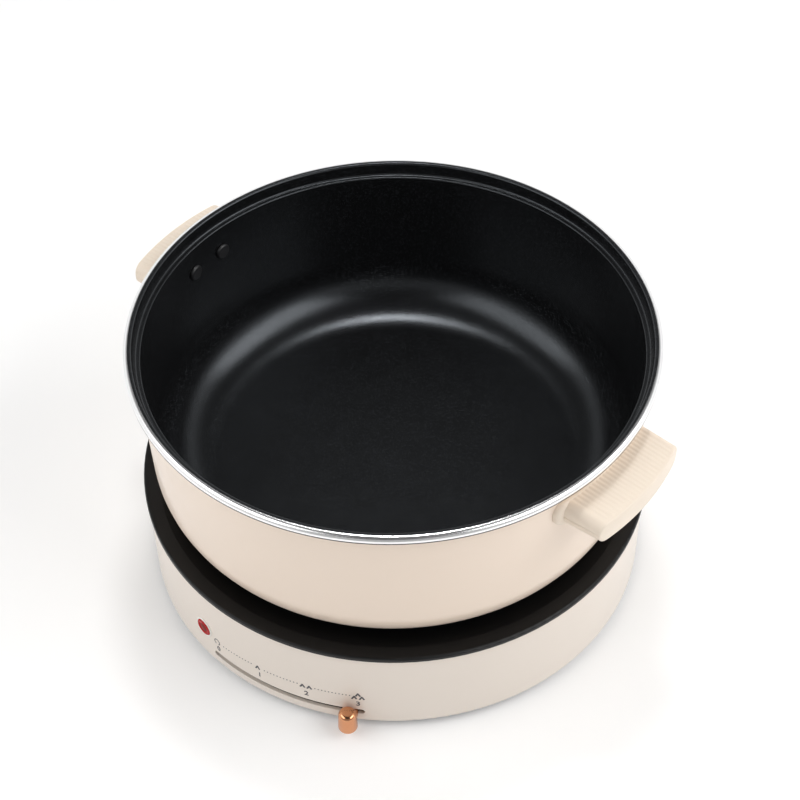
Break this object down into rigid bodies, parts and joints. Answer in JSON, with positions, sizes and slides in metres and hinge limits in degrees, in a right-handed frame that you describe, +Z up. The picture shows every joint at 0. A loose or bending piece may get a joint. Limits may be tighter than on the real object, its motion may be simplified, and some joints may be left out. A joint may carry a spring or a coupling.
{
  "type": "electric hot pot",
  "caption": "Round lift-off cooking pot with two side grips on a low round heating base with a sliding temperature lever and a pilot lamp.",
  "frame": {"origin": "on the surface that the feet stand on, under the axis of the pot and base", "axes": "+Z up along the pot's axis, -Y towards the control side with the lever, +Y towards the power inlet"},
  "size_m": [0.3048, 0.3159, 0.1708],
  "materials": {
    "cream_enamel": "semi-gloss cream enamel",
    "enamelled_aluminium": "semi-gloss cream enamel on cast aluminium, black non-stick inside",
    "cream_grip": "satin heat-proof moulding",
    "black_moulding": "fine matt heat-proof moulding",
    "rubber_black": "matt",
    "cast_aluminium": "as cast, machined top",
    "steel": "bright plated",
    "heater_sheath": "dark annealed",
    "brass": "plain",
    "steatite": "unglazed",
    "rose_gold": "mirror-plated",
    "red_lens": "translucent red",
    "clear_glass": "clear",
    "coated_rivet": "non-stick coated heads",
    "wire_sleeve": "silicone glass sleeve"
  },
  "bodies": {
    "base": {"base_housing": "cream_enamel", "top_ring": "black_moulding", "ring_screws": "steel", "bottom_cover": "black_moulding", "cover_screws": "steel", "feet": "rubber_black", "heating_plate": "cast_aluminium", "heating_element": "heater_sheath", "heater_beads": "steatite", "heater_blades": "steel", "heat_shield": "steel", "plate_posts": "steel", "plate_spacers": "steel", "plate_screws": "steel", "thermostat_bridge": "steel", "bridge_screws": "steel", "thermostat_body": "black_moulding", "thermostat_blades": "brass", "thermostat_spacers": "steel", "thermostat_screws": "steel", "thermal_fuse": "steatite", "fuse_clip": "steel", "lamp_lens": "red_lens", "lamp_holder": "black_moulding", "neon_bulb": "clear_glass", "inlet_socket": "black_moulding", "inlet_blades": "brass", "inlet_screws": "steel", "lead_wires": "wire_sleeve"},
    "pot": {"pot_body": "enamelled_aluminium", "handle_left": "cream_grip", "handle_right": "cream_grip", "handle_brackets": "steel", "handle_rivets": "coated_rivet", "handle_screws": "steel"},
    "lever": {"thermostat_spindle": "brass", "spindle_screw": "steel", "lever_arm": "steel", "lever_knob": "rose_gold"},
    "probe": {"probe_cap": "cast_aluminium", "probe_stem": "steel", "probe_clip": "steel", "probe_spring": "steel"}
  },
  "joints": [
    {"name": "pot_lift", "type": "slide", "parent": "base", "child": "pot", "axis": [0, 0, 1], "range_m": [0, 0.12]},
    {"name": "lever_swing", "type": "hinge", "parent": "base", "child": "lever", "pos_m": [0, 0, 0.0135], "axis": [0, 0, 1], "range_deg": [-32.4, 0.9]},
    {"name": "probe_press", "type": "slide", "parent": "base", "child": "probe", "axis": [0, 0, 1], "range_m": [-0.0015, 0], "stiffness_N_per_m": 500, "springref_m": 0.005, "deforming": ["probe_spring"]}
  ]
}
